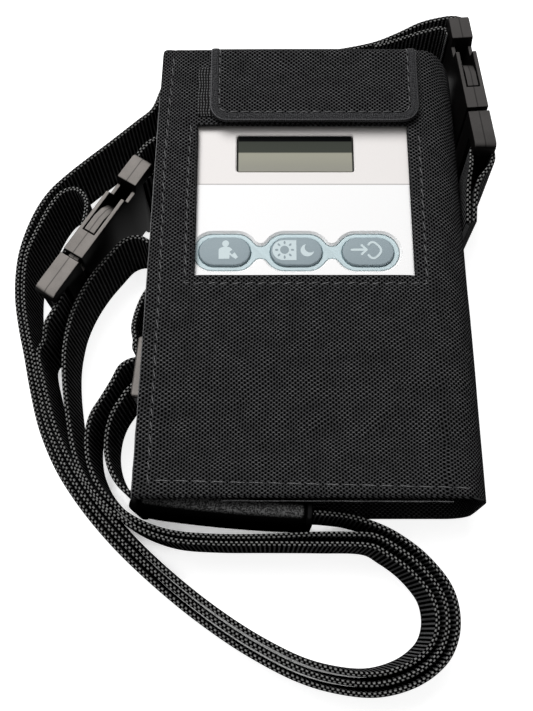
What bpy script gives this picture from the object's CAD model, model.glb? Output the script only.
# %% [markdown]
# # A blood pressure monitor in its carrying pouch
#
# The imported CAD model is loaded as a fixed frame. This scene gives every visible part its real surface:
# woven nylon, webbing, leatherette, moulded plastic and silicone. Sizes are in millimetres and are
# turned into metres by `MM`. The pouch lies on its back, +Y points to its mouth and +Z out of its window.

# %% Load the frame
import math

import bmesh
import bpy
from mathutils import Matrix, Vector, noise
from mathutils.bvhtree import BVHTree


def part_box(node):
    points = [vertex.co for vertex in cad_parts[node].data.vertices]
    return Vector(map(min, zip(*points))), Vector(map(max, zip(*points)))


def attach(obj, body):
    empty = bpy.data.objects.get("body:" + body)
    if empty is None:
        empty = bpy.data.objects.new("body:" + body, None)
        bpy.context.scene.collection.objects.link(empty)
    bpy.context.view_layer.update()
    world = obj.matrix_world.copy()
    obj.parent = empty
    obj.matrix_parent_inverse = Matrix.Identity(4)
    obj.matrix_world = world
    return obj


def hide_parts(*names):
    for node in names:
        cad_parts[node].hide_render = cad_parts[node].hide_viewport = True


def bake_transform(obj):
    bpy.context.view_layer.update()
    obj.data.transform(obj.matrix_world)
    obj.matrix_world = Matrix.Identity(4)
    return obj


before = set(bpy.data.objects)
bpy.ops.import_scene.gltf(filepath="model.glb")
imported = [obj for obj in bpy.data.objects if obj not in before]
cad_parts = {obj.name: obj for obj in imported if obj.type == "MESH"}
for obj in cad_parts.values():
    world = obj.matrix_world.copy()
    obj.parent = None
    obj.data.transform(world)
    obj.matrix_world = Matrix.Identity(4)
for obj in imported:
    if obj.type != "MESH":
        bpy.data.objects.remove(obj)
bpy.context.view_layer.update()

MM = 0.001

# %% [markdown]
# ## Helpers for materials
#
# Colours are written as sRGB hex codes, as a picture editor shows them. `node` adds one shader node with
# its settings and links. A `Wire` is a node's output that counts like a number, so that a pattern reads
# as a formula. Patterns are written in real millimetres.

# %% Nodes and wires
def colour(code):
    """Turn an sRGB hex code into the linear values that a shader takes."""
    parts = [int(code[start:start + 2], 16) / 255 for start in (1, 3, 5)]
    return tuple(part / 12.92 if part <= 0.04045 else ((part + 0.055) / 1.055) ** 2.4 for part in parts) + (1.0,)


class Wire:
    """A node's output. Sums and products with it add math nodes to its tree."""
    def __init__(self, socket):
        self.socket, self.tree = socket, socket.id_data

    def __add__(self, other):
        return calc("ADD", self, other)

    def __sub__(self, other):
        return calc("SUBTRACT", self, other)

    def __rsub__(self, other):
        return calc("SUBTRACT", other, self)

    def __mul__(self, other):
        return calc("MULTIPLY", self, other)

    def __truediv__(self, other):
        return calc("DIVIDE", self, other)

    def __pow__(self, other):
        return calc("POWER", self, other)

    def __abs__(self):
        return calc("ABSOLUTE", self)


def node(tree, kind, inputs=None, **settings):
    """Add a node; each input takes a value, a wire or another node's output."""
    made = tree.nodes.new(kind)
    for key, value in settings.items():
        setattr(made, key, value)
    for key, value in (inputs or {}).items():
        value = value.socket if isinstance(value, Wire) else value
        if isinstance(value, bpy.types.NodeSocket):
            tree.links.new(value, made.inputs[key])
        else:
            made.inputs[key].default_value = value
    return made


def wire(tree, kind, inputs=None, output=0, **settings):
    return Wire(node(tree, kind, inputs, **settings).outputs[output])


def calc(operation, *values):
    tree = next(value.tree for value in values if isinstance(value, Wire))
    return wire(tree, "ShaderNodeMath", dict(enumerate(values)), operation=operation)


# %% [markdown]
# These shape the wires: `step` is a soft threshold, `wave` a ripple, `speckle` soft noise. `coat` ends a
# material by linking its wires to the shader.

# %% Patterns
def step(value, low, high):
    """Rise smoothly from 0 to 1 while value goes from low to high."""
    return wire(value.tree, "ShaderNodeMapRange", {"Value": value, "From Min": low, "From Max": high},
                interpolation_type="SMOOTHSTEP")


def wave(value, pitch, swing=0.5, middle=0.5):
    return calc("COSINE", value * (2 * math.pi / pitch)) * swing + middle


def mixed(share, low, high):
    """A colour between low and high, each of which is a hex code or a wire."""
    low, high = [colour(end) if isinstance(end, str) else end for end in (low, high)]
    return wire(share.tree, "ShaderNodeMix", {0: share, 6: low, 7: high}, 2, data_type="RGBA")


def scaled(place, scale):
    return wire(place.tree, "ShaderNodeVectorMath", {0: place, "Scale": scale}, operation="SCALE")


def split(place):
    return [Wire(socket) for socket in node(place.tree, "ShaderNodeSeparateXYZ", {0: place}).outputs]


def speckle(place, pitch, detail=2.0):
    """Soft noise between 0 and 1 whose patches are about pitch millimetres wide."""
    return wire(place.tree, "ShaderNodeTexNoise", {"Vector": place, "Scale": 1 / pitch, "Detail": detail})


def cloth_place(shader):
    """The place on the cloth, then across and along it, in millimetres, as the meshes' UV maps hold them."""
    uv = wire(shader.id_data, "ShaderNodeUVMap")
    return [uv] + split(uv)[:2]


def solid_place(shader):
    """The place in the piece itself, in millimetres."""
    return scaled(wire(shader.id_data, "ShaderNodeTexCoord", output="Object"), 1 / MM)


def facing_up(shader):
    return split(wire(shader.id_data, "ShaderNodeTexCoord", output="Normal"))[2]


def material(name, base, roughness, metallic=0.0, **sockets):
    made = bpy.data.materials.new(name)
    made.use_nodes = True
    shader = made.node_tree.nodes["Principled BSDF"]
    shader.inputs["Base Color"].default_value = colour(base)
    shader.inputs["Roughness"].default_value = roughness
    shader.inputs["Metallic"].default_value = metallic
    for key, value in sockets.items():
        shader.inputs[key.replace("_", " ")].default_value = value
    return made, shader


def coat(shader, relief, strength, depth, **wires):
    """Link wires to the shader, and let relief, from 0 to 1, tilt its surface; depth is in millimetres."""
    tree = shader.id_data
    bump = node(tree, "ShaderNodeBump", {"Height": relief, "Strength": strength, "Distance": depth * MM})
    tree.links.new(bump.outputs[0], shader.inputs["Normal"])
    for key, value in wires.items():
        tree.links.new(value.socket, shader.inputs[key.replace("_", " ")])


def paint(piece, finish):
    piece.data.materials.clear()
    piece.data.materials.append(finish)


# %% [markdown]
# ## Materials
#
# **Ballistic nylon** is a weave of heavy threads. Its dark oval holes stand in a staggered grid, 0.85 mm
# apart across and 0.66 mm along. **Webbing** is a ribbed weave with two braided rows along each edge.

# %% Woven materials
HOLE_PITCH, HOLE_ROW_PITCH = 0.85, 0.66
HOLE_HALVES, CROSSING_HALVES = (0.34, 0.44), (0.42, 0.17)
WEB_WIDTH, WEB_THICKNESS = 25.0, 1.5
BEAD_PITCH, BEAD_ROW, BEAD_LEAN = 1.5, 0.4, 0.12
RIB_PITCH = 1.45


def nylon(name):
    """A net of threads round black oval holes, with brighter beads where threads cross in some patches."""
    made, shader = material(name, "#2a2a2a", 0.7, Specular_IOR_Level=0.0)
    uv, across, along = cloth_place(shader)
    wander = speckle(uv, 11.0)
    near_u = calc("PINGPONG", wander * 1.5 + across, HOLE_PITCH)
    near_v = calc("PINGPONG", wander * -1.2 + along, HOLE_ROW_PITCH)
    far_u, far_v = HOLE_PITCH - near_u, HOLE_ROW_PITCH - near_v

    def oval(u, v, half_u, half_v):
        return (u / half_u) ** 2.0 + (v / half_v) ** 2.0

    hole = calc("MINIMUM", oval(near_u, near_v, *HOLE_HALVES), oval(far_u, far_v, *HOLE_HALVES))
    crossing = calc("MINIMUM", oval(far_u, near_v, *CROSSING_HALVES), oval(near_u, far_v, *CROSSING_HALVES))
    level = (speckle(uv, 0.9) * 1.1 + 0.45) * (speckle(uv, 14.0) * 0.2 + 0.9)
    threads = step(hole, 0.45, 1.7)
    beads = step(crossing, 1.3, 0.15) * step(speckle(uv, 5.5), 0.12, 0.88)
    tone = mixed(threads, "#010101", mixed(beads, "#353536", "#6a6a6b"))
    coat(shader, threads + beads * 0.4, 0.6, 0.14, Base_Color=scaled(tone, level))
    return made


def webbing(name):
    """Ribs across the faces, and two staggered rows of bright beads along either edge."""
    made, shader = material(name, "#161616", 0.7, Specular_IOR_Level=0.0)
    uv, around, along = cloth_place(shader)
    folded = abs(around)
    from_edge = calc("MINIMUM", folded, WEB_WIDTH + WEB_THICKNESS - folded)
    row_side = calc("SIGN", around)
    slanted = row_side * (from_edge - BEAD_ROW) * BEAD_LEAN + (row_side * (BEAD_PITCH / 4) + along)
    braid = step(wave(slanted, BEAD_PITCH), 0.3, 0.75) * (step(from_edge, 0.06, 0.26) * step(from_edge, 0.88, 0.62))
    ribs = step(wave(along, RIB_PITCH), 0.35, 0.95) * wave(around, 0.8, 0.42, 0.58) * step(from_edge, 0.8, 1.1)
    uneven = speckle(uv, 1.3)
    tone = mixed(ribs * (uneven * 0.8 + 0.6), "#020202", "#808081")
    tone = mixed(braid * (uneven * 1.6 + 0.15), tone, "#868685")
    coat(shader, braid + ribs * 0.6, 0.8, 0.2, Base_Color=tone)
    return made


def binding_tape(name):
    """Plain woven tape, folded over the edge, with a dull grain and a paler fold."""
    made, shader = material(name, "#2c2c2d", 0.7, Specular_IOR_Level=0.05)
    uv, across, along = cloth_place(shader)
    grain = step(speckle(uv, 0.4, 3.0), 0.36, 0.66)
    woven = grain * wave(along, 0.7, 0.22, 0.78)
    fold = step(abs(across - 2.75), 0.32, 0.05)
    tone = mixed(fold * (grain * 0.6 + 0.4), mixed(woven, "#121213", "#515153"), "#747476")
    coat(shader, woven, 0.6, 0.1, Base_Color=tone)
    return made


def ribbed_tape(name):
    """Loop tape whose ground shows as ribs that run along it."""
    made, shader = material(name, "#161617", 0.8, Specular_IOR_Level=0.1)
    place = solid_place(shader)
    x, y = split(place)[:2]
    rib = wave(speckle(place, 3.5) * 1.3 + x, 0.95)
    level = speckle(place, 0.8) + (step(y, 50.0, 49.2) * 0.9 + 0.4)
    share = step(rib, 0.35, 0.95) * wave(y, 1.1, 0.45, 0.55) * level
    coat(shader, rib, 0.6, 0.12, Base_Color=mixed(share, "#060606", "#686869"))
    return made


NYLON = nylon("ballistic_nylon_plain_weave")
WEBBING = webbing("nylon_webbing_ribbed_weave")
BINDING = binding_tape("polyester_binding_tape_plain")
LOOP_TAPE = ribbed_tape("loop_tape_knitted")
print("woven materials:", NYLON.name, WEBBING.name, BINDING.name, LOOP_TAPE.name)

# %% [markdown]
# **Moulded parts** have a fine grain from the mould. The case is white ABS, whose upper field is a little
# warmer than the lower one. The keypad is silicone, and the buckles are black acetal that has a slight
# grey bloom on the worn top faces. **Leatherette** catches the light in a band along its upper side.

# %% Moulded materials
STEP_Y = 25.3
LCD_X, LCD_Y = -5.2, 37.0


def plastic(name, base, worn, roughness, grain=0.35, depth=0.012, **sockets):
    made, shader = material(name, base, roughness, **sockets)
    place = solid_place(shader)
    fine = speckle(place, grain, 3.0)
    tone = mixed(step(fine, 0.34, 0.66) * 0.6 + speckle(place, 14.0) * 0.4, base, worn)
    coat(shader, fine, 0.5, depth, Base_Color=tone, Roughness=fine * 0.12 + (roughness - 0.06))
    return made


def case_white():
    made, shader = material("white_abs_injection_moulded", "#f6f4f3", 0.5, Specular_IOR_Level=0.15)
    place = solid_place(shader)
    y = split(place)[1]
    fine = speckle(place, 0.5, 3.0)
    fields = mixed(step(y, STEP_Y - 0.05, STEP_Y + 0.05), mixed(fine, "#fdfdfd", "#f9f8f8"),
                   mixed(fine, "#efebe9", "#ebe7e5"))
    divided = mixed(step(abs(y - STEP_Y), 0.36, 0.20), fields, "#a9a5a4")
    coat(shader, fine, 0.3, 0.008, Base_Color=divided)
    return made


def screen():
    """A display behind its window: a black mask above, then the shade of the recess, then the lit field."""
    made, shader = material("lcd_glass_with_printed_mask", "#9c9b8e", 0.35, Specular_IOR_Level=0.02)
    place = solid_place(shader)
    x, y = split(place)[:2]
    field = mixed(step(y, LCD_Y - 6.6, LCD_Y), "#95948a", "#9f9e90")
    field = mixed(step(y, LCD_Y + 0.15, LCD_Y + 0.75), field, "#40433d")
    field = mixed(step(y, LCD_Y + 4.6, LCD_Y + 4.9), field, "#030405")
    field = mixed(step(abs(x - LCD_X), 18.75, 19.15), field, "#2a2b28")
    coat(shader, speckle(place, 3.0), 0.1, 0.01, Base_Color=field)
    return made


def buckle_plastic(name, top, origin, way):
    """Black acetal with a grey bloom on the faces that look up and a parting line along the middle."""
    made, shader = material(name, "#0e0d0d", 0.45, Specular_IOR_Level=0.015)
    place = solid_place(shader)
    fine = speckle(place, 0.3, 3.0)
    bloom = step(facing_up(shader), 0.55, 0.97) * (speckle(place, 7.0) * 0.5 + 0.7)
    aside = Vector((way[1], -way[0], 0)).normalized()
    flat = wire(place.tree, "ShaderNodeVectorMath", {0: place, 1: aside}, "Value", operation="DOT_PRODUCT")
    line = step(abs(flat - Vector(origin).dot(aside)), 0.08, 0.3)
    share = bloom * (fine * 0.4 + 0.8) * (line * 0.55 + 0.45)
    coat(shader, fine, 0.4, 0.012, Base_Color=mixed(share, "#0e0d0d", top), Roughness=bloom * 0.15 + 0.42)
    return made


def leatherette(name, base, sheen, grain):
    made, shader = material(name, base, 0.5, Specular_IOR_Level=0.0)
    pebbles = step(speckle(solid_place(shader), grain), 0.38, 0.64)
    share = step(facing_up(shader), 0.78, 1.0) ** 1.5 * (pebbles * 0.85 + 0.15)
    coat(shader, pebbles, 0.6, 0.12, Base_Color=mixed(share, base, sheen))
    return made


def metal(name, base, roughness, pitch):
    made, shader = material(name, base, roughness, 1.0)
    fine = speckle(solid_place(shader), pitch, 4.0)
    coat(shader, fine, 0.3, 0.01, Roughness=fine * 0.3 + (roughness - 0.1))
    return made


CASE_WHITE = case_white()
SCREEN = screen()
SILICONE = plastic("pale_silicone_compression_moulded", "#bed0d4", "#c7d7db", 0.5, Specular_IOR_Level=0.2)
KEY_WEB = plastic("teal_silicone_web_moulded", "#7f979d", "#8aa1a7", 0.6, Specular_IOR_Level=0.1)
KEY_CAP = plastic("slate_silicone_compression_moulded", "#8e9ca2", "#96a4aa", 0.5, Specular_IOR_Level=0.2)
ICON_INK = plastic("pale_blue_screen_print", "#c8d6d9", "#cfdcdf", 0.5, Specular_IOR_Level=0.2)
DARK_PLASTIC = plastic("dark_abs_injection_moulded", "#262627", "#2e2e2f", 0.45)
TUBE = plastic("clear_silicone_tube_extruded", "#c3c8c4", "#cdd1cd", 0.35)
CELL = plastic("cell_sleeve_printed_foil", "#2c3136", "#363b40", 0.3)
STEEL = metal("mild_steel_drawn_and_plated", "#b9b9bc", 0.32, 0.6)
NICKEL = metal("brass_nickel_plated", "#c9c4b8", 0.26, 0.4)
BOARD = plastic("glass_epoxy_board_green_mask", "#1d4d2c", "#235a34", 0.4)
LEATHERETTE = leatherette("black_pvc_leatherette_embossed", "#050505", "#666666", 0.5)
PIPING = leatherette("black_pvc_piping_smooth", "#070707", "#454546", 4.0)
HOOK_TAPE = plastic("hook_tape_woven", "#0b0b0c", "#1c1c1e", 0.9, grain=0.25, depth=0.25, Specular_IOR_Level=0.1)
THREAD = plastic("bonded_polyester_sewing_thread", "#4e4e4f", "#6e6e6f", 0.5, Specular_IOR_Level=0.2)
SELVEDGE = plastic("nylon_selvedge_heat_cut", "#2c2c2d", "#7c7c7d", 0.5, Specular_IOR_Level=0.2)
print("materials:", len(bpy.data.materials))

# %% [markdown]
# ## Camera, floor and light
#
# The camera was fitted to the pouch's corners: it stands low over the strap's loop, looks 17.8 degrees off
# the vertical towards +Y and has a 43.4 mm lens on a 36 mm frame.

# %% Camera
camera = bpy.data.cameras.new("photo_camera")
camera.lens = 43.44
camera.sensor_width = 36.0
camera.clip_start = 0.01
view = bpy.data.objects.new("photo_camera", camera)
bpy.context.scene.collection.objects.link(view)
view.location = (-14.8 * MM, -115.0 * MM, 285.0 * MM)
view.rotation_euler = (math.radians(17.8), 0, 0)
bpy.context.scene.camera = view
bpy.context.scene.view_settings.view_transform = "Standard"
print("camera at", [round(value, 4) for value in view.location])

# %% [markdown]
# The floor shows the shadow, and its colour seen by the camera is close to white. In the narrow gaps
# between the straps its glow fades out. Past the floor's edge the camera sees a white world, which lights
# the scene at only a tenth of that.

# %% Floor and light
def floor_finish():
    made = bpy.data.materials.new("white_paper_sweep")
    made.use_nodes = True
    tree = made.node_tree
    tree.nodes.clear()
    rays = node(tree, "ShaderNodeLightPath").outputs
    through = calc("MAXIMUM", Wire(rays["Is Glossy Ray"]), Wire(rays["Is Transmission Ray"]))
    seen = calc("MAXIMUM", Wire(rays["Is Camera Ray"]), through)
    diffuse = node(tree, "ShaderNodeBsdfDiffuse", {"Color": colour("#d2d2d2")})
    open_sky = wire(tree, "ShaderNodeAmbientOcclusion", {"Distance": 0.02}, "AO", samples=8)
    lit = seen * 0.84 * step(open_sky, 0.03, 0.13)
    glow = node(tree, "ShaderNodeEmission", {"Color": (1, 1, 1, 1), "Strength": lit})
    both = node(tree, "ShaderNodeAddShader", {0: diffuse.outputs[0], 1: glow.outputs[0]})
    node(tree, "ShaderNodeOutputMaterial", {0: both.outputs[0]})
    return made


def area_light(name, spot, target, size, power):
    lamp = bpy.data.lights.new(name, "AREA")
    lamp.shape = "RECTANGLE"
    lamp.size = lamp.size_y = size
    lamp.energy = power
    made = bpy.data.objects.new(name, lamp)
    bpy.context.scene.collection.objects.link(made)
    made.location = spot
    made.rotation_euler = (Vector(target) - Vector(spot)).to_track_quat("-Z", "Y").to_euler()


bpy.ops.mesh.primitive_plane_add(size=40.0, location=(0, 0, 0))
floor = bpy.context.object
floor.name = "floor"
paint(floor, floor_finish())

world = bpy.data.worlds.new("studio")
bpy.context.scene.world = world
world.use_nodes = True
backdrop = world.node_tree.nodes["Background"]
backdrop.inputs[0].default_value = (1, 1, 1, 1)
straight = wire(world.node_tree, "ShaderNodeLightPath", output="Is Camera Ray")
world.node_tree.links.new((straight * 0.9 + 0.10).socket, backdrop.inputs[1])

area_light("back_softbox", (-0.36, 0.50, 1.08), (-0.06, 0.0, 0.03), 0.85, 15.4)
area_light("overhead", (0.05, -0.10, 1.50), (0, 0, 0), 1.2, 3.0)

# %% [markdown]
# ## Building helpers
#
# A piece's role is the body that carries it, its material slot and the CAD nodes that it stands for. A
# piece whose body is `"flap_fold"` bends between the pouch and the flap. `skin` joins rows of points into
# a surface and writes the cloth's own millimetres into its UV map, so a weave keeps its size wherever the
# cloth bends. `refined` takes a CAD node's shape and rounds its edges.


def declare(piece, body, slot, *cad_nodes):
    if body == "flap_fold":
        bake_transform(piece)
    else:
        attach(piece, body)
    if cad_nodes:
        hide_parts(*cad_nodes)
    return piece


def finish_mesh(name, data, finish, *role):
    bmesh.ops.recalc_face_normals(data, faces=data.faces)
    mesh = bpy.data.meshes.new(name)
    data.to_mesh(mesh)
    data.free()
    made = bpy.data.objects.new(name, mesh)
    bpy.context.scene.collection.objects.link(made)
    paint(made, finish)
    return declare(made, *role) if role else made


def grid_face(data, layer, verts, across, along, low, column):
    """One face of a grid that closes round, with the cloth's millimetres at its corners."""
    beside = (column + 1) % len(verts[0])
    face = data.faces.new((verts[low][column], verts[low][beside], verts[low + 1][beside], verts[low + 1][column]))
    face.smooth = True
    corners = ((column, low), (column + 1, low), (column + 1, low + 1), (column, low + 1))
    for loop, (u, v) in zip(face.loops, corners):
        loop[layer].uv = (across[u], along[v])


def skin(name, rows, across, along, finish, *role, capped=True):
    """Join closed rows of points in metres. across has one value a column and one more to come round."""
    data = bmesh.new()
    layer = data.loops.layers.uv.new("cloth_mm")
    verts = [[data.verts.new(point) for point in row] for row in rows]
    for low in range(len(rows) - 1):
        for column in range(len(rows[0])):
            grid_face(data, layer, verts, across, along, low, column)
    for row, height in ((verts[0], along[0]), (verts[-1], along[-1])) if capped else ():
        for loop, u in zip(data.faces.new(row).loops, across):
            loop[layer].uv = (u, height)
    return finish_mesh(name, data, finish, *role)


def refined(cad_node, width, finish, body, slot):
    """A copy of a CAD node's shape with rounded edges, which stands for that node."""
    data = bmesh.new()
    data.from_mesh(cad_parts[cad_node].data)
    bmesh.ops.remove_doubles(data, verts=data.verts, dist=0.01 * MM)
    bmesh.ops.dissolve_limit(data, angle_limit=math.radians(2), verts=data.verts, edges=data.edges)
    for face in data.faces:
        face.smooth = True
    made = finish_mesh(f"{cad_node}_moulded", data, finish)
    edge = made.modifiers.new("rounded_edges", "BEVEL")
    edge.width = width * MM
    edge.segments = 3
    edge.limit_method = "ANGLE"
    edge.angle_limit = math.radians(35)
    edge.harden_normals = True
    return declare(made, body, slot, cad_node)


# %% [markdown]
# Lines of points: an arc, a row of places at an even pitch, the lengths along a path, and the place that
# lies at a given length.

# %% Line helpers
def arc(centre, radius, start, end, steps):
    turns = [math.radians(start + (end - start) * step_at / steps) for step_at in range(steps + 1)]
    return [(centre[0] + radius * math.cos(turn), centre[1] + radius * math.sin(turn)) for turn in turns]


def circle(centre, radius, steps=24):
    return arc(centre, radius, 0, 360 - 360 / steps, steps - 1)


def rounded(width, height, radius, steps, lift=0.0):
    """A rectangle with round corners."""
    outline = []
    for side_x, side_y, turn in ((1, 1, 0), (-1, 1, 90), (-1, -1, 180), (1, -1, 270)):
        centre = (side_x * (width / 2 - radius), lift + side_y * (height / 2 - radius))
        outline += arc(centre, radius, turn, turn + 90, steps)
    return outline


def stretch(low, high, pitch):
    count = max(1, round(abs(high - low) / pitch))
    return [low + (high - low) * number / count for number in range(count)]


def lengths(points):
    """How far along its line each point lies, in millimetres."""
    gone = [0.0]
    for low, high in zip(points, points[1:]):
        gone.append(gone[-1] + (Vector(high) - Vector(low)).length)
    return gone


def at_length(path, gone, wanted):
    """The point at a length along a path, and the number of the path's point before it."""
    number = min(max(index for index in range(len(gone)) if gone[index] <= wanted), len(gone) - 2)
    share = (wanted - gone[number]) / max(gone[number + 1] - gone[number], 1e-9)
    return path[number].lerp(path[number + 1], share), number


def smooth(points, pieces=24):
    """A Catmull-Rom curve through the points."""
    path = [Vector(point) for point in points]
    path = [2 * path[0] - path[1]] + path + [2 * path[-1] - path[-2]]
    curve = []
    for before, start, end, after in zip(path, path[1:], path[2:], path[3:]):
        for piece in range(pieces):
            t = piece / pieces
            curve.append(0.5 * (2 * start + (end - before) * t
                                + (2 * before - 5 * start + 4 * end - after) * t * t
                                + (3 * start - before - 3 * end + after) * t ** 3))
    curve.append(path[-2])
    return curve


def across_at(curve, number):
    ahead = curve[min(number + 1, len(curve) - 1)] - curve[max(number - 1, 0)]
    return Vector((-ahead.y, ahead.x, 0)).normalized()


# %% [markdown]
# ## The strap
#
# It is 25 mm webbing that stands on its edge. The route points are those of the CAD source, as x, y and,
# where it is off the table, the height of its lower edge. It comes in three strands: from its end behind
# the pouch round the right buckle, through the shoulder pad to the adjuster; from the adjuster to the left
# buckle; and from there back to the adjuster.

# %% Route points
STRAP_TAIL = [(24, 84.6, 1.5), (34, 85.2, 3), (43, 85.6, 5.2), (46.8, 86.0, 6.0)]
STRAP_FROM_BAR = [(55.2, 89.6, 5.9), (51.8, 90.9, 5.6), (47.0, 90.5, 5.2), (40, 89.4, 4), (32.6, 87.6, 2.5),
                  (17.5, 84.8), (0, 82.0), (-20, 81.6), (-36, 81.0), (-44, 79.0), (-49.5, 73.5), (-52, 66),
                  (-54.6, 59.0), (-59.7, 54.0), (-68.8, 45.5), (-75.6, 39.4), (-82.2, 33.2), (-87.7, 27.1),
                  (-91.5, 20.5), (-94.2, 13)]
OUTER_LEFT = [(-96.0, 5), (-96.5, -3), (-95.9, -12), (-94.0, -21.5)]
OUTER_RUN = [(-91.2, -32), (-88.3, -43.5), (-84.6, -55.4), (-78.9, -67.3), (-71.8, -77.6), (-63.7, -87.0),
             (-54.9, -95.6), (-43.5, -105.2), (-32.1, -113.6), (-20, -121.2), (-6.7, -127.8), (5, -131.2),
             (16.8, -132.2), (27.8, -129.4), (36.0, -123.8), (40.0, -116.8), (40.7, -109), (38.4, -101.5),
             (32.2, -93.8), (25.0, -88.2), (18.6, -84.9)]
STRAP_TO_PAD = [(10.9, -82.4), (4.2, -81.7, 2.0), (-1, -81.4, 2.7)]
STRAP_IN_PAD = [(-14, -80.6, 2.7), (-27, -79.6, 2.7), (-40, -78.3, 2.7), (-50, -77.1, 2.7), (-54.5, -76.2, 2.7)]
STRAP_FROM_PAD = [(-59.0, -73.2, 2.7), (-62.4, -67.6, 2.5), (-64.2, -61), (-63.9, -54.6), (-61.9, -49.8, 2.5)]
SECOND_FROM_ADJUSTER = [(-57.3, -22.5, 2.5),
                        (-56.6, -16), (-54.5, -10.5), (-51.2, -5.5), (-49.6, -0.5), (-50.8, 4.4), (-54.2, 8.3),
                        (-58.2, 9.9), (-62.6, 8.2), (-66.6, 3.4), (-71.2, -2.9), (-75.0, -9.9), (-77.6, -17),
                        (-78.8, -23.4), (-79.3, -30.8), (-78.6, -40), (-76.6, -51.6), (-74.4, -61.4),
                        (-71.5, -68.6), (-66.9, -75.2), (-61.0, -81.0), (-53.3, -85.8), (-43, -89.2),
                        (-30, -90.2), (-14, -90.3), (2, -90.4)]
SECOND_TO_PLUG = [(-85.4, -27.0, 2.5), (-84.6, -22.5, 5)]
THIRD_FROM_PLUG = [(-76.0, 9.0, 5.2), (-74.9, 15.0, 4.2), (-75.2, 22.4, 3), (-79.0, 27.0, 1.8), (-84.0, 26.6),
                   (-87.4, 22.0), (-90.6, 14.6)]
THIRD_TO_ADJUSTER = [(9.5, -87.5), (-1, -87.5), (-15, -88.1), (-30, -88.1), (-43, -87.0), (-52.6, -83.9),
                     (-59.6, -79.5), (-65.4, -73.6), (-68.8, -67.2), (-70.2, -61), (-70.2, -55), (-69.0, -50.2),
                     (-66.4, -45.6), (-63.2, -40.4, 1.5)]
LEFT_STUB_OUT = [(-45.2, 44.6, 5.4), (-46.4, 40.2, 5.4), (-49.6, 35.4, 5.4)]
LEFT_STUB_BACK = [(-57.9, 38.4, 5.4), (-55.0, 42.4, 5.4), (-50.6, 45.4, 5.4), (-47.2, 46.6, 5.4)]
RIGHT_STUB_OUT = [(51.9, 12.0, 4.5), (51.9, 22.0, 9), (52.4, 27.5, 12.2)]
RIGHT_STUB_BACK = [(59.6, 29.2, 12.3), (57.8, 26.2, 11.8), (55.4, 23.4, 10.4), (54.3, 19.5, 8), (53.9, 12.6, 4.6)]
print("route points of the strap's outer run:", len(OUTER_RUN))

# %% [markdown]
# Where strands lie side by side, the inner ones follow the outer run at a spacing. In the adjuster and the
# left buckle the points are given along and aside of the fitting. A buckle's place is its plug's end, with
# the way in which it points.

# %% Fittings on the strap
RUN_SPACING, LEFT_SPACING, INNER_SPACING = (1.9, 3.3), (2.0, 1.9), (3.8, 6.6)
FIRST_THREAD = [(0.2, -4.8), (2.5, -3.7), (5.3, -1.4)]
SECOND_THREAD = [(15.2, -1.2), (15.75, -1.9), (16.2, -2.75), (17.2, -3.15), (19.5, -3.25)]
THIRD_THREAD = [(9.9, -6.8), (12.2, -4.4), (13.3, -1.5)]
INTO_PLUG = [(-1.7, 3.95), (1.7, 3.45), (4.7, 2.4), (5.2, 0.3)]
OUT_OF_PLUG = [(5.2, -0.3), (5.7, -3.6), (7.0, -5.15), (14.25, -4.95), (24.7, -4.95)]
LEFT_BUCKLE = Vector((-84.75, -14.35, 18.0)), Vector((0.522, 0.853, 0.0)).normalized()
RIGHT_BUCKLE = Vector((56.4, 32.2, 24.5)), Vector((-0.0716, 0.9913, -0.1097)).normalized()
SOCKET_BAR, PLUG_BAR = 54.9, 1.7
TURN_DEPTH, TURN_HALF_WIDTH = 3.1, 3.5
FLOOR_GAP = 0.3
ADJUSTER_SOUTH = (-54.8, -46.8)
ADJUSTER_WAY = Vector((0.08, 0.9968, 0)).normalized()
ADJUSTER_HEIGHT = 30.8
BUCKLE_OF = {"left": buckle_plastic("black_acetal_with_grey_bloom", "#8f8a86", *LEFT_BUCKLE),
             "right": buckle_plastic("black_acetal_injection_moulded", "#4b4948", *RIGHT_BUCKLE)}


def level(points):
    return [Vector((point[0], point[1], point[2] if len(point) > 2 else FLOOR_GAP)) for point in points]


def beside(points, start, end):
    """Points moved to the left of their path, by start at its first point and by end at its last."""
    count = len(points) - 1
    return [point + across_at(points, number) * (start + (end - start) * number / count)
            for number, point in enumerate(points)]


def side_of(forward):
    return Vector((forward.y, -forward.x, 0)).normalized()


def up_of(forward):
    return side_of(forward).cross(forward)


def in_buckle(buckle, points):
    """Lower edge of the webbing at points given along and aside of a buckle."""
    plug_end, forward = buckle
    return [plug_end + forward * along + side_of(forward) * aside - up_of(forward) * (WEB_WIDTH / 2)
            for along, aside in points]


def bar_turn(buckle, bar_at, inward, steps=6):
    """Half a turn of the webbing round a bar."""
    angles = [math.pi * number / steps for number in range(steps + 1)]
    return in_buckle(buckle, [(bar_at + inward * TURN_DEPTH * math.sin(angle), -TURN_HALF_WIDTH * math.cos(angle))
                              for angle in angles])


def threaded(points):
    """Lower edge of the webbing at points given along and aside of the adjuster."""
    south = Vector((*ADJUSTER_SOUTH, FLOOR_GAP + (ADJUSTER_HEIGHT - WEB_WIDTH) / 2))
    side = Vector((ADJUSTER_WAY.y, -ADJUSTER_WAY.x, 0))
    return [south + ADJUSTER_WAY * along + side * aside for along, aside in points]


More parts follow.
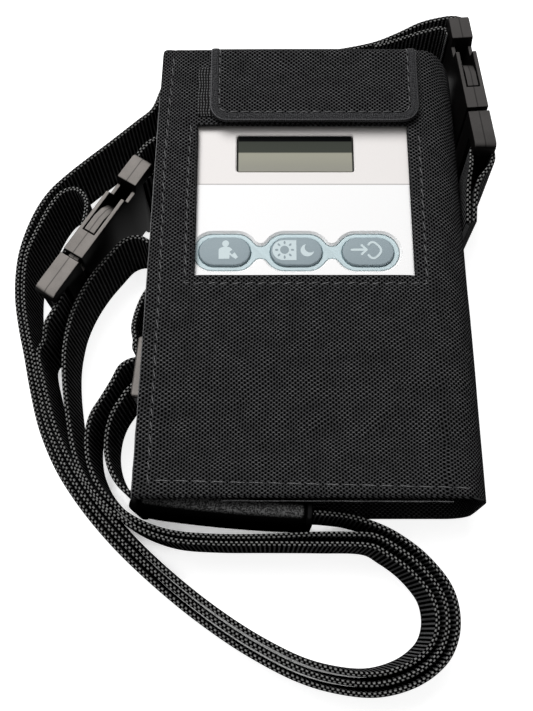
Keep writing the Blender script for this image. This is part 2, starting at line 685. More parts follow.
run = level(OUTER_RUN)
STRANDS = {
    "strap_strand_1": level(STRAP_TAIL) + bar_turn(RIGHT_BUCKLE, SOCKET_BAR, -1)
    + level(STRAP_FROM_BAR + OUTER_LEFT + OUTER_RUN + STRAP_TO_PAD + STRAP_IN_PAD + STRAP_FROM_PAD)
    + threaded(FIRST_THREAD),
    "strap_strand_2": threaded(SECOND_THREAD) + level(SECOND_FROM_ADJUSTER)
    + list(reversed(beside(run, *INNER_SPACING))) + level(SECOND_TO_PLUG) + in_buckle(LEFT_BUCKLE, INTO_PLUG),
    "strap_strand_3": in_buckle(LEFT_BUCKLE, OUT_OF_PLUG) + level(THIRD_FROM_PLUG)
    + beside(level(OUTER_LEFT), *LEFT_SPACING) + beside(run, *RUN_SPACING) + level(THIRD_TO_ADJUSTER)
    + threaded(THIRD_THREAD),
}
print("points of each strand:", [len(route) for route in STRANDS.values()])

# %% [markdown]
# A strand is a smooth curve through its points, and the webbing is swept along it. Beside the tilted right
# buckle the webbing leans with it.

# %% The webbing's sweep
LEAN_REACH, LEAN_FULL = 30.0, 9.0


def leaning(point, lean):
    """The way up of the webbing; within reach of a tilted fitting it turns to that fitting's."""
    upright = Vector((0, 0, 1))
    if lean is None:
        return upright
    centre, up = lean
    away = Vector((point.x - centre.x, point.y - centre.y)).length
    share = min(max((LEAN_REACH - away) / (LEAN_REACH - LEAN_FULL), 0), 1)
    return upright.lerp(up, share * share * (3 - 2 * share)).normalized()


def web_outline():
    """The webbing's section from the middle of its top edge all the way round, and how far round each point is."""
    half, round_off = WEB_THICKNESS / 2, 0.45
    top = WEB_WIDTH
    right = [(0, top), (0.4, top)] + arc((half - round_off, top - round_off), round_off, 75, 0, 3)
    right += [(half, top * 0.75), (half, top * 0.5), (half, top * 0.25)]
    right += [(x, top - y) for x, y in reversed(right[1:5])] + [(0.4, 0), (0, 0)]
    points = right + [(-x, y) for x, y in reversed(right[1:-1])]
    gone = lengths([(x, y, 0) for x, y in points + points[:1]])
    whole = 2 * (WEB_WIDTH + WEB_THICKNESS)
    around = [value * (whole / gone[-1]) for value in gone]
    return points, [value if value <= around[-1] / 2 else value - around[-1] for value in around]


SECTION, AROUND = web_outline()


def spaced(curve, least=0.55):
    kept = [0]
    for number in range(1, len(curve) - 1):
        if (curve[number] - curve[kept[-1]]).length >= least:
            kept.append(number)
    return kept + [len(curve) - 1]


def web_rows(route, lean=None):
    """The webbing's sections along a route, and the middle line that they stand round."""
    curve = smooth(route)
    rows, line = [], []
    for number in spaced(curve):
        up = leaning(curve[number], lean)
        aside = across_at(curve, number)
        rows.append([(curve[number] + aside * x + up * y) * MM for x, y in SECTION])
        line.append((curve[number] + up * (WEB_WIDTH / 2)) * MM)
    return rows, line


def web_piece(name, rows, line, label, start=0.0):
    along = [start + value / MM for value in lengths(line)]
    return skin(name, rows, AROUND, along, WEBBING, "carrier", "webbing", label), along[-1]


# %% [markdown]
# Strands 2 and 3 turn round in the loop at the lower right and come back beside themselves, a few
# millimetres apart. Each is made in two stretches that meet in that turn.

# %% Strap pieces
def right_lean(bar_at):
    plug_end, forward = RIGHT_BUCKLE
    return plug_end + forward * bar_at, up_of(forward)


for label, route in STRANDS.items():
    whole = label == "strap_strand_1"
    rows, line = web_rows(route, right_lean(SOCKET_BAR) if whole else None)
    last = len(line) - 1
    turn = max(range(len(line)), key=lambda number: line[number].x)
    spans = {"webbing": (0, last)} if whole else {"webbing_a": (0, turn), "webbing_b": (turn, last)}
    reached = 0.0
    for ending, (begin, end) in spans.items():
        part = line[begin:end + 1]
        piece, reached = web_piece(f"{label}_{ending}", rows[begin:end + 1], part, label, reached)
        round(lengths(part)[-1], 3)
    print(label, round(reached), "mm")

stub_left = level(LEFT_STUB_OUT) + bar_turn(LEFT_BUCKLE, SOCKET_BAR, -1)[::-1] + level(LEFT_STUB_BACK)
stub_right = level(RIGHT_STUB_OUT) + bar_turn(RIGHT_BUCKLE, PLUG_BAR, 1) + level(RIGHT_STUB_BACK)
for side, route, lean in (("left", stub_left, None), ("right", stub_right, right_lean(PLUG_BAR))):
    web_piece(f"{side}_webbing_loop", *web_rows(route, lean), f"{side}_webbing_stub")

# %% [markdown]
# ## The pouch
#
# One panel of nylon is wrapped round the monitor and sewn to itself in a fin down the left side. Its
# section is a closed line of columns, which `section_point` places. `column_ends` gives where the cloth
# stops at either end, with a notch for the flap.

# %% Pouch section
WALL = 1.7
DEPTH = 35.0
WALL_X = -43.7
TOP_Y, BOTTOM_Y = 76.0, -79.6
LEFT_TOP_X, LEFT_BOTTOM_X = -50.6, -54.4
RIGHT_TOP_X, RIGHT_BOTTOM_X = 50.0, 51.6
SHOULDER_RADIUS, HEEL_RADIUS, CREASE_RADIUS, FIN_ROUND = 12.0, 8.0, 3.0, 0.6
WINDOW = (-38.1, 32.6, -8.3, 46.7)
SEAM_LINE = [(-80.0, -49.7), (-71.2, -49.5), (-16.5, -48.4), (35.0, -48.4), (76.0, -46.4)]
WINDOW_SEAM = (-40.5, 35.8, -10.9, 49.4)
FLAP_LOW_X, FLAP_HIGH_X, FLAP_FRONT_Y, FLAP_CORNER = -33.7, 36.1, 46.0, 6.0
FOLD_Y, FOLD_Z, FOLD_RADIUS = 70.9, 33.6, 4.0
NOTCH_Y = 72.5
MOUTH_CORNER = 2.0
MOUTH_CURVE_X, MOUTH_CURVE_Y, MOUTH_CURVE = 39.0, 65.0, 11.0
PAD_REACH_X, PAD_CLEARANCE = 3.0, 4.9
EVEN_UP_TO = 60.0
HEM_Y, HEM_SLOPE = -74.2, 0.0235


def section_columns():
    """Columns round the pouch as (kind, value): the fin's underside, its edge, the front, side, back and left wall."""
    columns = [("fin_low", share / 4) for share in range(4)]
    columns += [("tip", angle) for angle in (-60, -20, 20, 60)]
    columns += [("fin_high", share / 12) for share in range(12)]
    left, right = WINDOW_SEAM[:2]
    marks = [WALL_X, left - 1.2, left - 0.6, left, left + 0.6, left + 1.3, WINDOW[0], FLAP_LOW_X - 0.05,
             FLAP_LOW_X + 0.05, WINDOW[1], right - 1.4, right - 0.7, right, FLAP_HIGH_X - 0.05, FLAP_HIGH_X + 0.05,
             37.2, 38.0]
    columns += [("front", x) for low, high in zip(marks, marks[1:]) for x in stretch(low, high, 2.6)]
    columns += [("shoulder", 90 - 9 * number) for number in range(11)]
    columns += [("side", share / 4) for share in range(1, 4)]
    columns += [("heel", -11.25 * number) for number in range(9)]
    columns += [("back", share / 26) for share in range(1, 26)]
    columns += [("crease", 270 - 22.5 * number) for number in range(5)]
    return columns + [("left", share / 9) for share in range(1, 9)]


def section_point(kind, value, share, inset):
    """A column's x and z; share runs from 0 at the mouth to 1 at the lower end."""
    left = LEFT_TOP_X + (LEFT_BOTTOM_X - LEFT_TOP_X) * share
    right = RIGHT_TOP_X + (RIGHT_BOTTOM_X - RIGHT_TOP_X) * share
    seam = DEPTH - WALL
    turn = math.radians(value)
    if kind in ("fin_low", "fin_high", "tip"):
        base = WALL_X + inset
        end = left + inset + FIN_ROUND
        if kind == "fin_low":
            return base + (end - base) * value, seam - (WALL - 0.02 if not inset else 0.01)
        height = WALL if not inset else 0.01
        if kind == "fin_high":
            return end + (base - end) * value, seam + height
        return end - (FIN_ROUND if not inset else 0.01) * math.cos(turn), seam + height * math.sin(turn)
    if kind == "front":
        return max(value, WALL_X + inset), DEPTH - inset
    if kind == "shoulder":
        radius = SHOULDER_RADIUS - inset
        return right - SHOULDER_RADIUS + radius * math.cos(turn), DEPTH - SHOULDER_RADIUS + radius * math.sin(turn)
    if kind == "side":
        top = DEPTH - SHOULDER_RADIUS
        return right - inset, top + (HEEL_RADIUS - top) * value
    if kind == "heel":
        radius = HEEL_RADIUS - inset
        return right - HEEL_RADIUS + radius * math.cos(turn), HEEL_RADIUS + radius * math.sin(turn)
    if kind == "back":
        return right - HEEL_RADIUS + (WALL_X + CREASE_RADIUS - right + HEEL_RADIUS) * value, inset
    if kind == "crease":
        radius = CREASE_RADIUS - inset
        return WALL_X + CREASE_RADIUS + radius * math.cos(turn), CREASE_RADIUS + radius * math.sin(turn)
    return WALL_X + inset, CREASE_RADIUS + (DEPTH - 2 * WALL - CREASE_RADIUS) * value


def pad_line(x):
    """The y of the shoulder pad's middle line, which falls from its left end to its right end."""
    return -81.4 + 5.2 * (x + 1.0) / -53.5


def column_ends(x, z):
    """Where a column starts at the lower end and stops at the mouth."""
    low = BOTTOM_Y + 2.0 * z / DEPTH
    if z < DEPTH - 2 * WALL - 0.3 and x < PAD_REACH_X:
        low = max(low, pad_line(x) + PAD_CLEARANCE)
    high = TOP_Y
    if FLAP_LOW_X < x < FLAP_HIGH_X and z > 31.0:
        high = NOTCH_Y
    if x > MOUTH_CURVE_X:
        high = MOUTH_CURVE_Y + math.sqrt(max(MOUTH_CURVE ** 2 - (x - MOUTH_CURVE_X) ** 2, 0.0))
    into_corner = LEFT_TOP_X + MOUTH_CORNER - x
    if into_corner > 0 and z > 30.0:
        high -= MOUTH_CORNER - math.sqrt(max(MOUTH_CORNER ** 2 - into_corner ** 2, 0.0))
    return low, high


print("columns of the pouch:", len(section_columns()))

# %% [markdown]
# The cloth is a little uneven, and its seams draw it in: down the fin, round the window and along the hem.

# %% Drape
def seam_x(y):
    for (low_y, low_x), (high_y, high_x) in zip(SEAM_LINE, SEAM_LINE[1:]):
        if y <= high_y:
            return low_x + (high_x - low_x) * (y - low_y) / (high_y - low_y)
    return SEAM_LINE[-1][1]


def hem_y(x):
    return HEM_Y - HEM_SLOPE * x


def from_window_seam(x, y):
    """How far a place lies outside the seam round the window; less than zero inside it."""
    left, right, low, high = WINDOW_SEAM
    return max(left - x, x - right, low - y, y - high)


def pulled(distance, width=0.55):
    """How much a seam draws the cloth in, at a distance from it."""
    return math.exp(-(distance / width) ** 2)


def drape(x, y, z, kind):
    """How far the cloth stands out from the monitor."""
    ripple = noise.noise(Vector((x / 21.0, y / 27.0, z / 21.0)))
    fine = noise.noise(Vector((x / 6.0 + 9, y / 8.0, z / 6.0)))
    lift = 0.22 * (ripple + 0.6) + 0.07 * fine
    if kind in ("front", "fin_high") and z > 20:
        puckers = 0.75 + 0.5 * noise.noise(Vector((x / 2.2, y / 2.2, 5.0)))
        seams = pulled(x - seam_x(y)) + pulled(from_window_seam(x, y)) * (y < 50) + pulled(y - hem_y(x), 0.7)
        lift += 0.12 - 0.34 * min(seams, 1.0) * puckers
    return lift


def panel_point(kind, value, base, inset):
    """A point of the panel; base is its row's y, which is stretched to the column's own ends."""
    x, z = section_point(kind, value, (TOP_Y - base) / (TOP_Y - BOTTOM_Y), inset)
    low, high = column_ends(x, z)
    y = base
    if base < -EVEN_UP_TO:
        y = -EVEN_UP_TO + (base + EVEN_UP_TO) * (low + EVEN_UP_TO) / (BOTTOM_Y + EVEN_UP_TO)
    if base > EVEN_UP_TO:
        y = EVEN_UP_TO + (base - EVEN_UP_TO) * (high - EVEN_UP_TO) / (TOP_Y - EVEN_UP_TO)
    lift = drape(x, y, z, kind)
    if kind in ("front", "fin_high"):
        z += lift
    if kind in ("shoulder", "side"):
        x += lift * math.cos(math.radians(value if kind == "shoulder" else 0)) * 0.8
    return x * MM, y * MM, z * MM


# %% [markdown]
# The panel has an outer and an inner sheet, left open at the window. Round every open edge a rim of two
# bands joins them over a line that stands out a little, so the cloth's edge is round.

# %% Pouch panel
RIM_SWELL = 0.55


def rim(data, layer, outer_to_inner):
    edges = [edge for edge in data.edges if len(edge.link_faces) == 1 and edge.verts[0] in outer_to_inner]
    middles = {}
    for vert in [vert for edge in edges for vert in edge.verts]:
        if vert in middles:
            continue
        inside = [other.other_vert(vert).co for other in vert.link_edges if len(other.link_faces) == 2]
        middle = (vert.co + outer_to_inner[vert].co) / 2
        if inside:
            away = vert.co - sum(inside, Vector()) / len(inside)
            middle = middle + away.normalized() * (RIM_SWELL * MM)
        middles[vert] = data.verts.new(middle)
    for edge in edges:
        a, b = edge.verts
        for quad in ((a, b, middles[b], middles[a]),
                     (middles[a], middles[b], outer_to_inner[b], outer_to_inner[a])):
            face = data.faces.new(quad)
            face.smooth = True
            for loop in face.loops:
                loop[layer].uv = (loop.vert.co.x / MM + loop.vert.co.z / MM, loop.vert.co.y / MM)


def pouch():
    columns = section_columns()
    seam = WINDOW_SEAM[2]
    marks = [BOTTOM_Y, -78.2, -77.4, -76.7, -76.0, -75.3, -74.6, -73.9, -73.2, -72.4, -71.4, -EVEN_UP_TO,
             seam - 1.2, seam - 0.6, seam, seam + 0.6, seam + 1.3, WINDOW[2], WINDOW[3], EVEN_UP_TO, 68.0, TOP_Y]
    rows_at = [y for low, high in zip(marks, marks[1:]) for y in stretch(low, high, 2.8)] + [TOP_Y]
    data = bmesh.new()
    layer = data.loops.layers.uv.new("cloth_mm")
    sheets = [[[data.verts.new(panel_point(kind, value, base, inset)) for kind, value in columns]
               for base in rows_at] for inset in (0.0, WALL)]
    line = [(*section_point(kind, value, 0.5, 0.0), 0) for kind, value in columns]
    around = lengths(line + line[:1])
    left, right, low_side, high_side = WINDOW
    open_columns = {number for number, (kind, value) in enumerate(columns)
                    if kind == "front" and left - 0.01 < value < right - 0.01}
    open_rows = {number for number, base in enumerate(rows_at) if low_side - 0.01 < base < high_side - 0.01}
    for sheet in sheets:
        for low in range(len(rows_at) - 1):
            for column in range(len(columns)):
                if column not in open_columns or low not in open_rows:
                    grid_face(data, layer, sheet, around, rows_at, low, column)
    rim(data, layer, {outer: inner for pair in zip(*sheets) for outer, inner in zip(*pair)})
    loose = [vert for vert in data.verts if not vert.link_faces]
    bmesh.ops.delete(data, geom=loose, context="VERTS")
    return finish_mesh("pouch_panel", data, NYLON, "carrier", "nylon", "pouch_shell")


def cut_edge(name, path, thickness=0.2):
    """The heat-cut edge of the cloth, a thin pale cord of uneven thickness along a path."""
    rows = []
    for number, point in enumerate(path):
        aside = across_at(path, number)
        radius = thickness * (1 + 0.4 * noise.noise(point / 2.4))
        centre = point + aside * (0.1 * noise.noise(point / 3.0 + Vector((5, 0, 0))))
        rows.append([(centre + aside * dx + Vector((0, 0, dz))) * MM for dx, dz in circle((0, 0), radius, 8)])
    skin(name, rows, [number * 0.16 for number in range(9)], lengths(path), SELVEDGE, "carrier", "nylon")


def fin_edge(y):
    share = (TOP_Y - y) / (TOP_Y - BOTTOM_Y)
    return Vector((LEFT_TOP_X + (LEFT_BOTTOM_X - LEFT_TOP_X) * share + 0.12, y, DEPTH - WALL + 1.0))


cut_edge("fin_cut_edge", [fin_edge(y) for y in range(58, -79, -2)])
cut_edge("mouth_lip_edge", [Vector((x, BOTTOM_Y + 0.95 - 0.004 * (x + 28), 32.9)) for x in range(-28, 41, 2)])
panel = pouch()
print("pouch panel:", len(panel.data.polygons), "faces")

# %% [markdown]
# ## The flap
#
# One strip of nylon comes up out of the mouth behind the monitor, folds forward and lies on the front. Its
# edge is bound with tape. `flap_point` places a point by its x, by how far it is along the strip and by
# its lift over the strip's middle. Both pieces bend with the flap's hinge.

# %% Flap
NECK_FOOT = 2.0
NECK_RISE = FOLD_Z - NECK_FOOT
NECK_AND_FOLD = NECK_RISE + FOLD_RADIUS * math.pi / 2
STRIP = NECK_AND_FOLD + FOLD_Y - FLAP_FRONT_Y
CLOTH_HALF, CLOTH_INSET = 0.8, 1.4


def flap_point(x, along, lift):
    """A point of the strip; the cloth stands a little proud where it folds."""
    lift += 0.5 * math.exp(-((along - (NECK_RISE + NECK_AND_FOLD) / 2) / 6.0) ** 2)
    if along <= NECK_RISE:
        return Vector((x, FOLD_Y + FOLD_RADIUS + lift, NECK_FOOT + along)) * MM
    if along <= NECK_AND_FOLD:
        turn = (along - NECK_RISE) / FOLD_RADIUS
        reach = FOLD_RADIUS + lift
        return Vector((x, FOLD_Y + reach * math.cos(turn), FOLD_Z + reach * math.sin(turn))) * MM
    return Vector((x, FOLD_Y - (along - NECK_AND_FOLD), FOLD_Z + FOLD_RADIUS + lift)) * MM


def flap_strip():
    low, high = FLAP_LOW_X + CLOTH_INSET, FLAP_HIGH_X - CLOTH_INSET
    xs = stretch(low, high, 2.2) + [high]
    end = STRIP - CLOTH_INSET
    rows_at = stretch(0.0, NECK_RISE, 3.0) + stretch(NECK_RISE, NECK_AND_FOLD, 0.5)
    rows_at += stretch(NECK_AND_FOLD, end, 1.2) + [end]
    corner = FLAP_CORNER - CLOTH_INSET
    rows = []
    for along in rows_at:
        pull = max(0.0, along - (STRIP - FLAP_CORNER))
        narrow = corner - math.sqrt(max(corner ** 2 - pull ** 2, 0.0))
        placed = [(x, min(max(x, low + narrow), high - narrow)) for x in xs]
        top = [flap_point(place_x, along, CLOTH_HALF + 0.09 * math.sin(math.pi * (x - low) / (high - low)))
               for x, place_x in placed]
        rows.append(top + [flap_point(place_x, along, -CLOTH_HALF) for x, place_x in reversed(placed)])
    across = [x - low for x in xs] + [high - x + 100 for x in reversed(xs)] + [201 + high - low]
    return skin("flap_cloth", rows, across, rows_at, NYLON, "flap_fold", "nylon", "flap_neck", "pouch_flap")


def flap_edge_line():
    """The flap's edge as x, place along the strip and the inward direction, from the left side round to the right."""
    corner = FLAP_CORNER
    sides = (stretch(NECK_RISE - 14.0, NECK_RISE, 2.0) + stretch(NECK_RISE, NECK_AND_FOLD, 0.5)
             + stretch(NECK_AND_FOLD, STRIP - corner, 1.5))
    line = [(FLAP_LOW_X, along, 1.0, 0.0) for along in sides]
    line += [(FLAP_LOW_X + corner + x, STRIP - corner + y, -x / corner, -y / corner)
             for x, y in arc((0, 0), corner, 180, 90, 8)]
    line += [(x, STRIP, 0.0, -1.0) for x in stretch(FLAP_LOW_X + corner, FLAP_HIGH_X - corner, 2.0)[1:]]
    left = [entry for entry in line if entry[1] < STRIP and entry[0] < 0]
    return line + [(FLAP_LOW_X + FLAP_HIGH_X - x, along, -in_x, in_y) for x, along, in_x, in_y in reversed(left)]


def flap_binding():
    profile = [(2.75, 0.72), (2.7, 0.94), (2.5, 1.05), (1.6, 1.1), (0.8, 1.06), (0.35, 0.9), (0.08, 0.55),
               (0.0, 0.0), (0.08, -0.5), (0.45, -0.85), (1.3, -0.92), (2.45, -0.9), (2.6, -0.75)]
    line = flap_edge_line()
    rows = [[flap_point(x + in_x * inward, along + in_y * inward, lift) for inward, lift in profile]
            for x, along, in_x, in_y in line]
    across = lengths([(a, b, 0) for a, b in profile + profile[:1]])
    gone = lengths([(x, along, 0) for x, along, in_x, in_y in line])
    return skin("flap_binding_tape", rows, across, gone, BINDING, "flap_fold", "binding", "flap_binding")


cloth = flap_strip()
tape = flap_binding()
print("flap:", len(cloth.data.polygons), "and its tape", len(tape.data.polygons), "faces")

# %% [markdown]
# ## Stitches
#
# Each seam is a row of thread dashes that arch a little over the cloth and lean to one side. On the pouch
# they lie on the cloth where it really is, which a ray from above finds.

# %% Stitches
THREAD_RADIUS, THREAD_SIDES, DASH_STEPS = 0.2, 6, 8
FLAP_SEAM_INSET = 3.15
PANEL_TREE = BVHTree.FromPolygons([vert.co for vert in panel.data.vertices],
                                  [tuple(face.vertices) for face in panel.data.polygons])


def stitches(name, body, path, ups, pitch, dash, lean):
    """Dashes of thread along a path in millimetres, as one mesh."""
    data = bmesh.new()
    gone = lengths(path)
    start = pitch * 0.3
    while start + dash < gone[-1]:
        rows = []
        for share in (number / DASH_STEPS for number in range(DASH_STEPS + 1)):
            point, number = at_length(path, gone, start + dash * share)
            up = ups[number]
            aside = (path[number + 1] - path[number]).normalized().cross(up).normalized()
            point = point + aside * lean * (share - 0.5) + up * (0.2 * math.sin(math.pi * share) - 0.04)
            thick = THREAD_RADIUS * (0.45 + 0.55 * math.sin(math.pi * share) ** 0.5)
            rows.append([data.verts.new((point + aside * x + up * y) * MM)
                         for x, y in circle((0, 0), thick, THREAD_SIDES)])
        for low, high in zip(rows, rows[1:]):
            for corner in range(THREAD_SIDES):
                following = (corner + 1) % THREAD_SIDES
                data.faces.new((low[corner], low[following], high[following], high[corner])).smooth = True
        data.faces.new(rows[0])
        data.faces.new(rows[-1])
        start += pitch
    return finish_mesh(name, data, THREAD, body, "binding")


def on_panel(points):
    """Lay a line of (x, y) points on the pouch's front, with the way up at each."""
    path, ups = [], []
    for (x0, y0), (x1, y1) in zip(points, points[1:]):
        count = max(1, round(math.hypot(x1 - x0, y1 - y0)))
        for number in range(count):
            x, y = x0 + (x1 - x0) * number / count, y0 + (y1 - y0) * number / count
            place, normal = PANEL_TREE.ray_cast(Vector((x * MM, y * MM, 0.1)), Vector((0, 0, -1)))[:2]
            if place is not None and place.z > 0.02:
                path.append(place / MM)
                ups.append(normal if normal.z > 0 else -normal)
    return path, ups


left, right, low_side, high_side = WINDOW_SEAM
window_line = [(left + 0.6, 47.6), (left, 30.0), (left, low_side), (right, low_side), (right + 0.3, 45.0)]
stitches("fin_seam_thread", "carrier", *on_panel([(seam_x(y), y) for y in range(74, -77, -6)]), 4.0, 3.1, -0.75)
stitches("window_seam_thread", "carrier", *on_panel(window_line), 4.0, 3.1, -0.7)
stitches("hem_thread", "carrier", *on_panel([(x, hem_y(x)) for x in range(-49, 47, 5)]), 5.5, 4.3, 0.15)

edge = [entry for entry in flap_edge_line() if entry[1] > NECK_RISE * 0.6 + NECK_AND_FOLD * 0.4]
path = [flap_point(x + in_x * FLAP_SEAM_INSET, along + in_y * FLAP_SEAM_INSET, 0.86) / MM
        for x, along, in_x, in_y in edge]
ups = [(flap_point(x, along, 1.0) - flap_point(x, along, 0.0)).normalized() for x, along, in_x, in_y in edge]
thread = stitches("flap_seam_thread", "flap_fold", path, ups, 3.9, 2.7, -0.3)
print("flap's seam:", len(thread.data.polygons), "faces")

# %% [markdown]
# ## Shoulder pad
#
# The pad is a padded sleeve of leatherette round the webbing, with a rolled rim at either end. Its sides
# are a little fuller in the middle than at the rims.

# %% Shoulder pad
PAD_THICKNESS, PAD_HEIGHT, PAD_ROUND, RIM_LENGTH = 7.6, 29.2, 3.4, 2.0
PAD_ROUTE = smooth(level(STRAP_TO_PAD[-2:] + STRAP_IN_PAD + STRAP_FROM_PAD[:1]))
PAD_GONE = lengths(PAD_ROUTE)
PAD_START = (PAD_ROUTE[0] - level(STRAP_TO_PAD[-1:])[0]).length
PAD_END = PAD_GONE[-1] - (level(STRAP_IN_PAD[-1:])[0] - PAD_ROUTE[-1]).length


def sleeve(name, cad_name, places, grown, finish):
    """Carry the pad's section along its route; grown gives its extra size at each place."""
    rows = []
    for place in places:
        point, number = at_length(PAD_ROUTE, PAD_GONE, place)
        aside = across_at(PAD_ROUTE, number)
        extra = grown(place)
        outline = rounded(PAD_THICKNESS + 2 * extra, PAD_HEIGHT + 2 * extra, PAD_ROUND + extra, 6, WEB_WIDTH / 2)
        rows.append([(point + aside * x + Vector((0, 0, y))) * MM for x, y in outline])
    across = [number * 0.8 for number in range(len(rows[0]) + 1)]
    return skin(name, rows, across, places, finish, "carrier", "leatherette", cad_name)


def rim_roll(side, start):
    half = RIM_LENGTH / 2
    sleeve(f"pad_rim_{side}_roll", f"pad_rim_{side}", stretch(start, start + RIM_LENGTH, 0.25) + [start + RIM_LENGTH],
           lambda place: 0.5 * math.sqrt(max(1 - ((place - start - half) / half) ** 2, 0)) - 0.1, PIPING)


def fullness(place):
    if not inner_start < place < inner_end:
        return -0.25
    return -0.25 + 0.35 * math.sin(math.pi * (place - inner_start) / (inner_end - inner_start)) ** 0.5


inner_start, inner_end = PAD_START + RIM_LENGTH + 0.1, PAD_END - RIM_LENGTH - 0.1
pad = sleeve("shoulder_pad_sleeve", "shoulder_pad", stretch(inner_start, inner_end, 1.5) + [inner_end], fullness,
             LEATHERETTE)
rim_roll("right", PAD_START)
rim_roll("left", PAD_END - RIM_LENGTH)
print("pad:", round(inner_end - inner_start, 1), "mm")

# %% [markdown]
# ## Hook and loop patches
#
# The loop patch is sewn to the pouch's front and shows a little to the left of the flap. The hook patch is
# on the flap's inside.

# %% Patches
def patch(name, cad_name, body, finish):
    """A thin pad with soft rounded corners and edges in the place of its CAD node."""
    low, high = [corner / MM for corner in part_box(cad_name)]
    middle = (low + high) / 2
    insets = {0.5: low.z, 0.1: low.z + 0.1, 0.0: middle.z, 0.15: high.z - 0.08, 0.6: high.z, 2.0: high.z}
    rows = []
    for inset, z in insets.items():
        outline = rounded(high.x - low.x - 2 * inset, high.y - low.y - 2 * inset, 1.6, 4)
        rows.append([Vector((middle.x + x, middle.y + y, z)) * MM for x, y in outline])
    across = [float(number) for number in range(len(rows[0]) + 1)]
    return skin(name, rows, across, list(insets), finish, body, "hook_loop", cad_name)


patches = [patch("loop_patch_tape", "loop_patch", "carrier", LOOP_TAPE),
           patch("hook_patch_tape", "hook_patch", "flap", HOOK_TAPE)]
print("patches:", [piece.name for piece in patches])

# %% [markdown]
# ## Hard parts
#
# The buckles, the adjuster and the buttons take their CAD shapes with rounded edges.

# %% Buckles and adjuster
for side in ("left", "right"):
    for part, body in (("buckle_socket", "carrier"), ("buckle_plug", "carrier"),
                       ("upper_prong", f"{side}_prong_up"), ("lower_prong", f"{side}_prong_low")):
        print(refined(f"{side}_{part}", 0.35, BUCKLE_OF[side], body, "buckle").name)
print(refined("strap_adjuster", 0.5, BUCKLE_OF["left"], "carrier", "buckle").name)

# %% [markdown]
# The buttons' signs are thin prints: a person with a cuff, a sun and a moon, and an arrow into a bracket.
# Each is an outline, or a line that `stroke` gives its width.

# %% Signs
def plate(name, outlines, low, high, body, finish):
    """Thin printed shapes, each from its outline of (x, y) points, as one piece."""
    data = bmesh.new()
    for rank, outline in enumerate(outlines):
        rows = [[data.verts.new((x * MM, y * MM, z * MM)) for x, y in outline] for z in (low, high + 0.01 * rank)]
        for number in range(len(outline)):
            following = (number + 1) % len(outline)
            data.faces.new((rows[0][number], rows[0][following], rows[1][following], rows[1][number]))
        data.faces.new(rows[0][::-1])
        data.faces.new(rows[1])
    finish_mesh(name, data, finish, body, "key")


def stroke(points, width):
    """The outline of a line of one width with round ends."""
    half = width / 2
    left, right, turns = [], [], []
    for number, (x, y) in enumerate(points):
        before, after = points[max(number - 1, 0)], points[min(number + 1, len(points) - 1)]
        turn = math.atan2(after[1] - before[1], after[0] - before[0])
        turns.append(math.degrees(turn))
        left.append((x - math.sin(turn) * half, y + math.cos(turn) * half))
        right.append((x + math.sin(turn) * half, y - math.cos(turn) * half))
    return (left[1:-1] + arc(points[-1], half, turns[-1] + 90, turns[-1] - 90, 6)
            + right[1:-1][::-1] + arc(points[0], half, turns[0] + 270, turns[0] + 90, 6))


def softened(points, passes=3):
    """Cut a line's corners again and again, with its ends kept."""
    for _ in range(passes):
        cut = [points[0]]
        for (x0, y0), (x1, y1) in zip(points, points[1:]):
            cut += [(x0 * 0.75 + x1 * 0.25, y0 * 0.75 + y1 * 0.25), (x0 * 0.25 + x1 * 0.75, y0 * 0.25 + y1 * 0.75)]
        points = cut + [points[-1]]
    return points


def ray(centre, radius, turn):
    """One of the sun's rays, a small ellipse that points outwards."""
    along, across = (math.cos(turn), math.sin(turn)), (-math.sin(turn), math.cos(turn))
    return [(centre[0] + along[0] * (radius + 0.55 * x) + across[0] * 0.32 * y,
             centre[1] + along[1] * (radius + 0.55 * x) + across[1] * 0.32 * y) for x, y in circle((0, 0), 1, 12)]


def signs():
    """For each button its pale shapes and the dark shapes on them, about the button's middle."""
    person = ([(-1.9, -2.7)] + arc((-0.8, 0.2), 1.1, 180, 100, 4) + [(-0.35, 1.55), (0.85, 1.55)]
              + arc((1.3, 0.55), 0.85, 80, 40, 2) + [(3.3, -0.5), (4.35, -2.1), (3.6, -2.8), (1.6, -1.3), (1.6, -2.7)])
    cuff = [(2.45, 0.45), (3.2, -0.45), (2.35, -1.2), (1.6, -0.3)]
    panel = arc((-4.2, 0.35), 3.5, 90, 270, 16) + [(0, -3.15), (0, 3.85)]
    sun = [circle((-3.8, 0.45), 1.42)] + [ray((-3.8, 0.45), 2.55, math.pi * number / 4) for number in range(8)]
    moon = arc((3.5, 0.3), 2.16, 99, 351, 24) + arc((4.45, 1.25), 1.75, 312.6, 137.4, 20)[1:-1]
    arrow = [stroke([(-5.3, 0.5), (-3.0, 0.5), (-0.7, 0.5)], 0.8),
             stroke([(-2.05, 2.05), (-0.5, 0.5)], 0.75), stroke([(-2.05, -1.1), (-0.5, 0.5)], 0.75)]
    bracket = [(0.15, 2.2), (0.9, 3.15), (2.2, 3.15), (4.7, 0.35), (2.4, -2.5), (1.0, -2.5), (0.05, -1.4)]
    return {"start": ([circle((0.3, 2.65), 1.12), person], [cuff]), "day_night": ([panel, moon], sun),
            "event": (arrow + [stroke(softened(bracket), 0.72)], [])}


print("signs:", {label: len(pale) + len(dark) for label, (pale, dark) in signs().items()})

# %% [markdown]
# The keypad's mat and buttons are moulded silicone with soft edges. A thin web closes the gap round each
# button, whose CAD box is larger than its cap by a flange.

# %% Keypad
KEY_Y, KEY_TOP, KEY_FLANGE = 1.0, 33.2, 1.2
KEYS = {"start": -28.25, "day_night": -5.2, "event": 17.85}


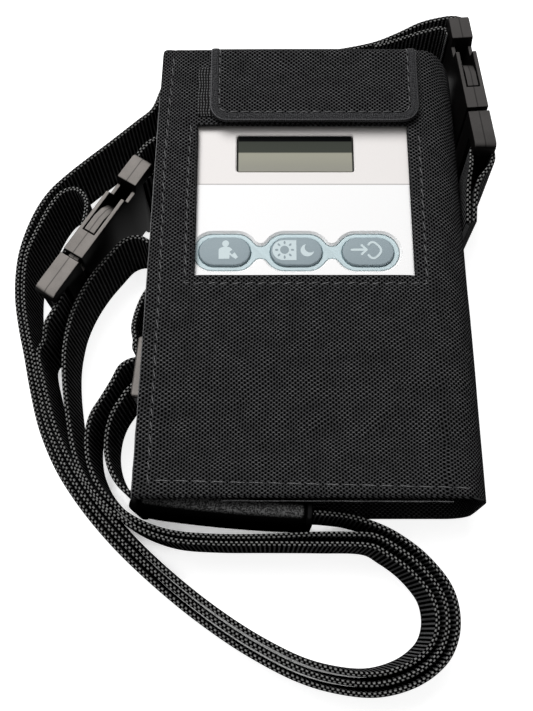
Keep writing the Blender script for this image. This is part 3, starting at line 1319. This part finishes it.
def web(label):
    """The thin web of the mat that closes the gap round a button, a little below its top."""
    low, high = [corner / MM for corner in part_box(f"{label}_button")]
    wide, tall = high.x - low.x - 2 * KEY_FLANGE, high.y - low.y - 2 * KEY_FLANGE
    rows = []
    for grown, z in ((0.02, 31.8), (0.02, 31.95), (0.3, 31.9), (0.3, 31.8)):
        outline = rounded(wide + 2 * grown, tall + 2 * grown, tall / 2 + grown - 0.01, 12)
        rows.append([Vector((KEYS[label] + x, KEY_Y + y, z)) * MM for x, y in outline])
    across = [float(number) for number in range(len(rows[0]) + 1)]
    skin(f"{label}_key_web", rows + rows[:1], across, [0.0, 0.1, 0.5, 0.6, 1.0], KEY_WEB, "carrier", "keypad",
         capped=False)


refined("keypad_mat", 0.22, SILICONE, "carrier", "keypad")
for label, (pale, dark) in signs().items():
    web(label)
    refined(f"{label}_button", 0.28, KEY_CAP, f"{label}_key", "key")
    for name, outlines, rise, ink in (("sign", pale, 0.05, ICON_INK), ("sign_marks", dark, 0.09, KEY_CAP)):
        placed = [[(x + KEYS[label], y + KEY_Y) for x, y in outline] for outline in outlines]
        if placed:
            plate(f"{label}_{name}", placed, KEY_TOP - 0.1, KEY_TOP + rise, f"{label}_key", ink)
print("buttons:", list(KEYS))

# %% [markdown]
# ## The rest of the monitor
#
# The case, the display and what lies inside keep their CAD shapes and get their materials.

# %% CAD nodes that keep their shape
FINISH_OF = {
    CASE_WHITE: ("monitor_front_shell", "monitor_back_shell", "battery_cover"),
    SCREEN: ("lcd_lens", "lcd_module"),
    DARK_PLASTIC: ("power_switch", "interface_port", "lcd_holder", "pump_head", "pressure_sensor"),
    NICKEL: ("cuff_connector", "battery_spring_1", "battery_spring_2", "contact_plate_south",
             "contact_plate_north", "valve_plunger", "switch_film"),
    STEEL: ("case_screw_1", "case_screw_2", "case_screw_3", "case_screw_4", "pump_motor", "pump_rotor",
            "release_valve"),
    TUBE: ("air_manifold",),
    CELL: ("battery_1", "battery_2"),
    BOARD: ("main_board",),
}
for finish, names in FINISH_OF.items():
    for cad_name in names:
        paint(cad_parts[cad_name], finish)
print("CAD nodes painted:", sum(len(names) for names in FINISH_OF.values()))
